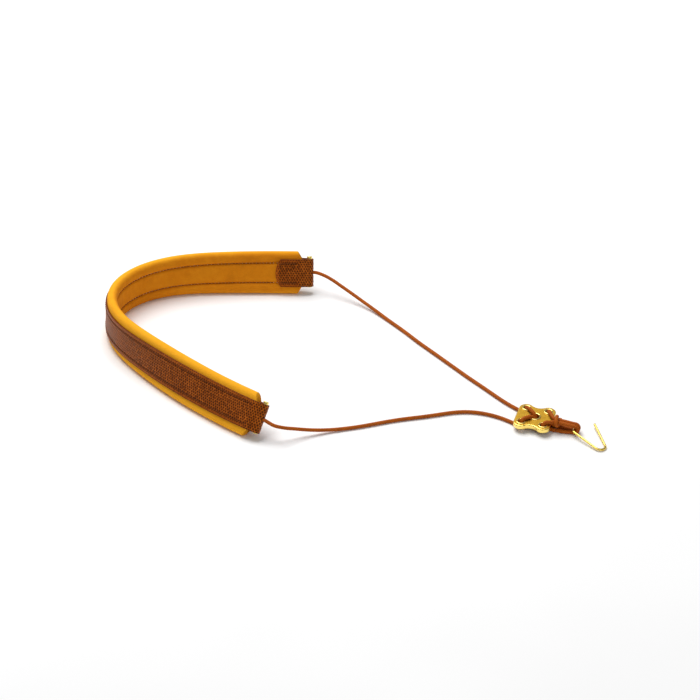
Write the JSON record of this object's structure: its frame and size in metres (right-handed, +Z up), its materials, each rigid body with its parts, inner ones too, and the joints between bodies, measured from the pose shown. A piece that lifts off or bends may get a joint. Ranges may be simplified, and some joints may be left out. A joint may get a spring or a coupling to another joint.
{
  "type": "saxophone neck strap",
  "caption": "Padded suede neck strap with an embossed leather band, a cord from each end, a metal lacing slider and a bent wire hook.",
  "frame": {"origin": "on the surface that the strap stands on, under the middle of the strap, slider and hook together", "axes": "+X from the back of the neck to the hook, +Y to the far arm of the padded strap, +Z up from the surface"},
  "size_m": [0.4423, 0.267, 0.04],
  "materials": {
    "foam": "soft foam",
    "suede": "matt suede",
    "embossed_leather": "embossed satin",
    "thread": "waxed thread",
    "cord": "braided",
    "cord_bead": "melted cord",
    "gold_metal": "polished",
    "gold_plate": "satin face with polished rims",
    "hook_wire": "polished"
  },
  "bodies": {
    "strap": {"pad_foam": "foam", "pad_cover": "suede", "leather_band": "embossed_leather", "upper_stitching": "thread", "lower_stitching": "thread", "far_pin": "gold_metal", "near_pin": "gold_metal", "far_end_knot": "cord", "near_end_knot": "cord", "far_cord": "cord", "near_cord": "cord"},
    "slider": {"slider_plate": "gold_plate", "far_lacing": "cord", "near_lacing": "cord", "far_tail": "cord", "near_tail": "cord", "far_stop_bead": "cord_bead", "near_stop_bead": "cord_bead", "cord_wrap": "cord"},
    "hook_loops": {"far_hook_loop": "cord", "near_hook_loop": "cord"},
    "hook": {"hook": "hook_wire"}
  },
  "joints": [
    {"name": "slider_slide", "type": "slide", "parent": "strap", "child": "slider", "axis": [-0.9563, 0.2924, 0], "range_m": [0, 0.09], "deforming": ["far_cord", "near_cord"]},
    {"name": "loop_follow", "type": "slide", "parent": "slider", "child": "hook_loops", "axis": [0.9563, -0.2924, 0], "range_m": [0, 0.045], "deforming": ["far_hook_loop", "near_hook_loop"]},
    {"name": "hook_swing", "type": "hinge", "parent": "hook_loops", "child": "hook", "pos_m": [0.19442, -0.10258, 0.00492], "axis": [0.2924, 0.9563, 0], "range_deg": [-87, 73]}
  ],
  "couplings": [
    {"joint": "loop_follow", "follows": "slider_slide", "ratio": 0.5}
  ]
}
